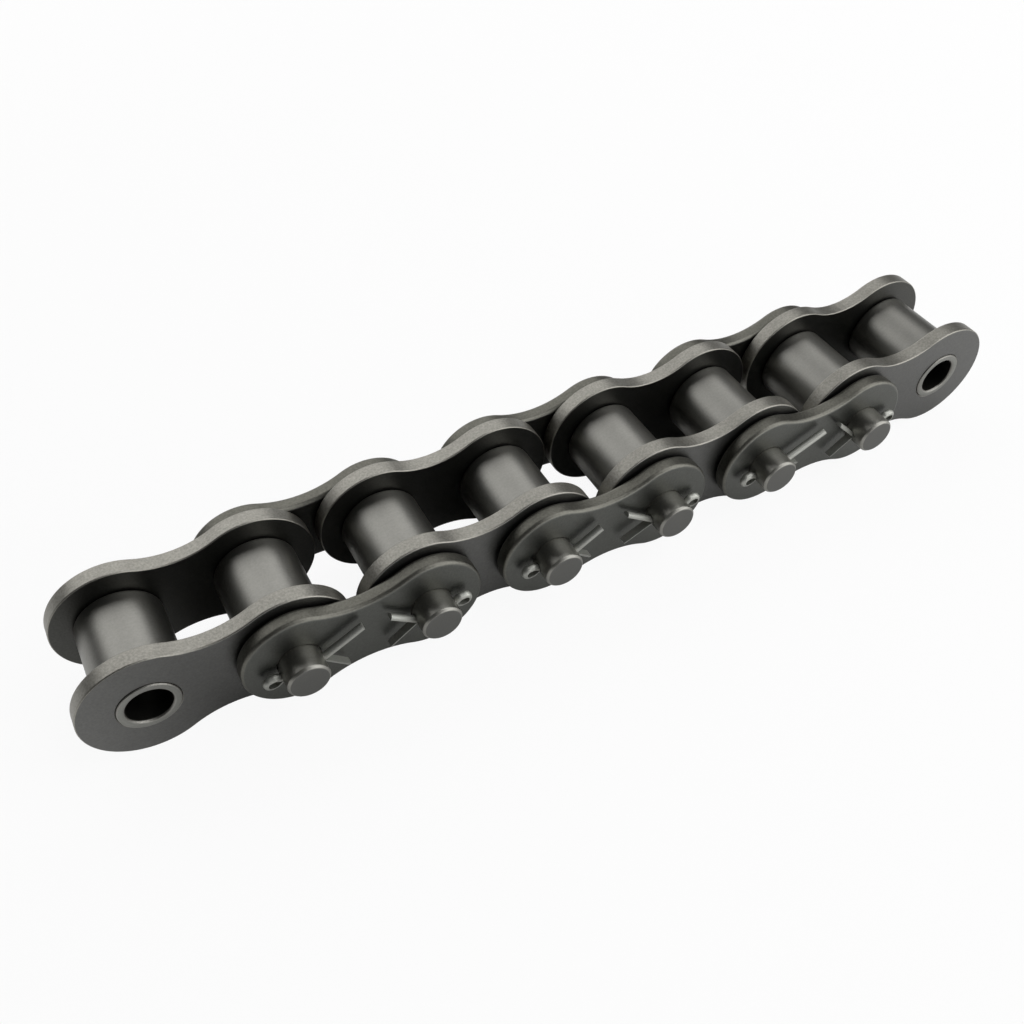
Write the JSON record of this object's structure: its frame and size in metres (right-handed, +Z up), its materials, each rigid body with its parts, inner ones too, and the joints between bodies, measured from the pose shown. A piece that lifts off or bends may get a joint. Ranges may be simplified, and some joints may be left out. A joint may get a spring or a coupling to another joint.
{
  "type": "roller chain",
  "caption": "Short strand of cottered steel roller chain: waisted link plates, free-turning rollers on bushes, and pins held by split cotters; both ends are open roller links.",
  "frame": {"origin": "centre of the first end bush's bore, midway between the plates", "axes": "+X along the strand from the first end to the last, +Y along the pins, away from the cotters, +Z up: the strand stands on the edges of its plates"},
  "size_m": [0.1515, 0.0279, 0.018],
  "materials": {
    "inner_plate": "heat-treated dark steel, satin",
    "outer_plate": "heat-treated dark steel, satin",
    "bush": "ground steel, satin",
    "roller": "heat-treated steel, smooth satin",
    "pin": "ground steel, satin",
    "cotter": "bright drawn wire"
  },
  "bodies": {
    "inner_link_1": {"inner_plate_1_front": "inner_plate", "inner_plate_1_back": "inner_plate", "bush_1_left": "bush", "bush_1_right": "bush"},
    "roller_1_left": {"roller_1_left": "roller"},
    "roller_1_right": {"roller_1_right": "roller"},
    "inner_link_2": {"inner_plate_2_front": "inner_plate", "inner_plate_2_back": "inner_plate", "bush_2_left": "bush", "bush_2_right": "bush"},
    "roller_2_left": {"roller_2_left": "roller"},
    "roller_2_right": {"roller_2_right": "roller"},
    "inner_link_3": {"inner_plate_3_front": "inner_plate", "inner_plate_3_back": "inner_plate", "bush_3_left": "bush", "bush_3_right": "bush"},
    "roller_3_left": {"roller_3_left": "roller"},
    "roller_3_right": {"roller_3_right": "roller"},
    "inner_link_4": {"inner_plate_4_front": "inner_plate", "inner_plate_4_back": "inner_plate", "bush_4_left": "bush", "bush_4_right": "bush"},
    "roller_4_left": {"roller_4_left": "roller"},
    "roller_4_right": {"roller_4_right": "roller"},
    "outer_link_1": {"outer_plate_1_front": "outer_plate", "outer_plate_1_back": "outer_plate", "pin_1_left": "pin", "pin_1_right": "pin", "cotter_1_left": "cotter", "cotter_1_right": "cotter"},
    "outer_link_2": {"outer_plate_2_front": "outer_plate", "outer_plate_2_back": "outer_plate", "pin_2_left": "pin", "pin_2_right": "pin", "cotter_2_left": "cotter", "cotter_2_right": "cotter"},
    "outer_link_3": {"outer_plate_3_front": "outer_plate", "outer_plate_3_back": "outer_plate", "pin_3_left": "pin", "pin_3_right": "pin", "cotter_3_left": "cotter", "cotter_3_right": "cotter"}
  },
  "joints": [
    {"name": "link_hinge_1", "type": "hinge", "parent": "inner_link_1", "child": "outer_link_1", "pos_m": [0.01905, 0, 0], "axis": [0, 1, 0], "range_deg": [-45, 45]},
    {"name": "link_hinge_2", "type": "hinge", "parent": "outer_link_1", "child": "inner_link_2", "pos_m": [0.0381, 0, 0], "axis": [0, 1, 0], "range_deg": [-45, 45]},
    {"name": "link_hinge_3", "type": "hinge", "parent": "inner_link_2", "child": "outer_link_2", "pos_m": [0.05715, 0, 0], "axis": [0, 1, 0], "range_deg": [-45, 45]},
    {"name": "link_hinge_4", "type": "hinge", "parent": "outer_link_2", "child": "inner_link_3", "pos_m": [0.0762, 0, 0], "axis": [0, 1, 0], "range_deg": [-45, 45]},
    {"name": "link_hinge_5", "type": "hinge", "parent": "inner_link_3", "child": "outer_link_3", "pos_m": [0.09525, 0, 0], "axis": [0, 1, 0], "range_deg": [-45, 45]},
    {"name": "link_hinge_6", "type": "hinge", "parent": "outer_link_3", "child": "inner_link_4", "pos_m": [0.1143, 0, 0], "axis": [0, 1, 0], "range_deg": [-45, 45]},
    {"name": "roller_1_left_spin", "type": "hinge", "parent": "inner_link_1", "child": "roller_1_left", "pos_m": [0, 0, 0], "axis": [0, 1, 0], "continuous": true},
    {"name": "roller_1_right_spin", "type": "hinge", "parent": "inner_link_1", "child": "roller_1_right", "pos_m": [0.01905, 0, 0], "axis": [0, 1, 0], "continuous": true},
    {"name": "roller_2_left_spin", "type": "hinge", "parent": "inner_link_2", "child": "roller_2_left", "pos_m": [0.0381, 0, 0], "axis": [0, 1, 0], "continuous": true},
    {"name": "roller_2_right_spin", "type": "hinge", "parent": "inner_link_2", "child": "roller_2_right", "pos_m": [0.05715, 0, 0], "axis": [0, 1, 0], "continuous": true},
    {"name": "roller_3_left_spin", "type": "hinge", "parent": "inner_link_3", "child": "roller_3_left", "pos_m": [0.0762, 0, 0], "axis": [0, 1, 0], "continuous": true},
    {"name": "roller_3_right_spin", "type": "hinge", "parent": "inner_link_3", "child": "roller_3_right", "pos_m": [0.09525, 0, 0], "axis": [0, 1, 0], "continuous": true},
    {"name": "roller_4_left_spin", "type": "hinge", "parent": "inner_link_4", "child": "roller_4_left", "pos_m": [0.1143, 0, 0], "axis": [0, 1, 0], "continuous": true},
    {"name": "roller_4_right_spin", "type": "hinge", "parent": "inner_link_4", "child": "roller_4_right", "pos_m": [0.13335, 0, 0], "axis": [0, 1, 0], "continuous": true}
  ]
}
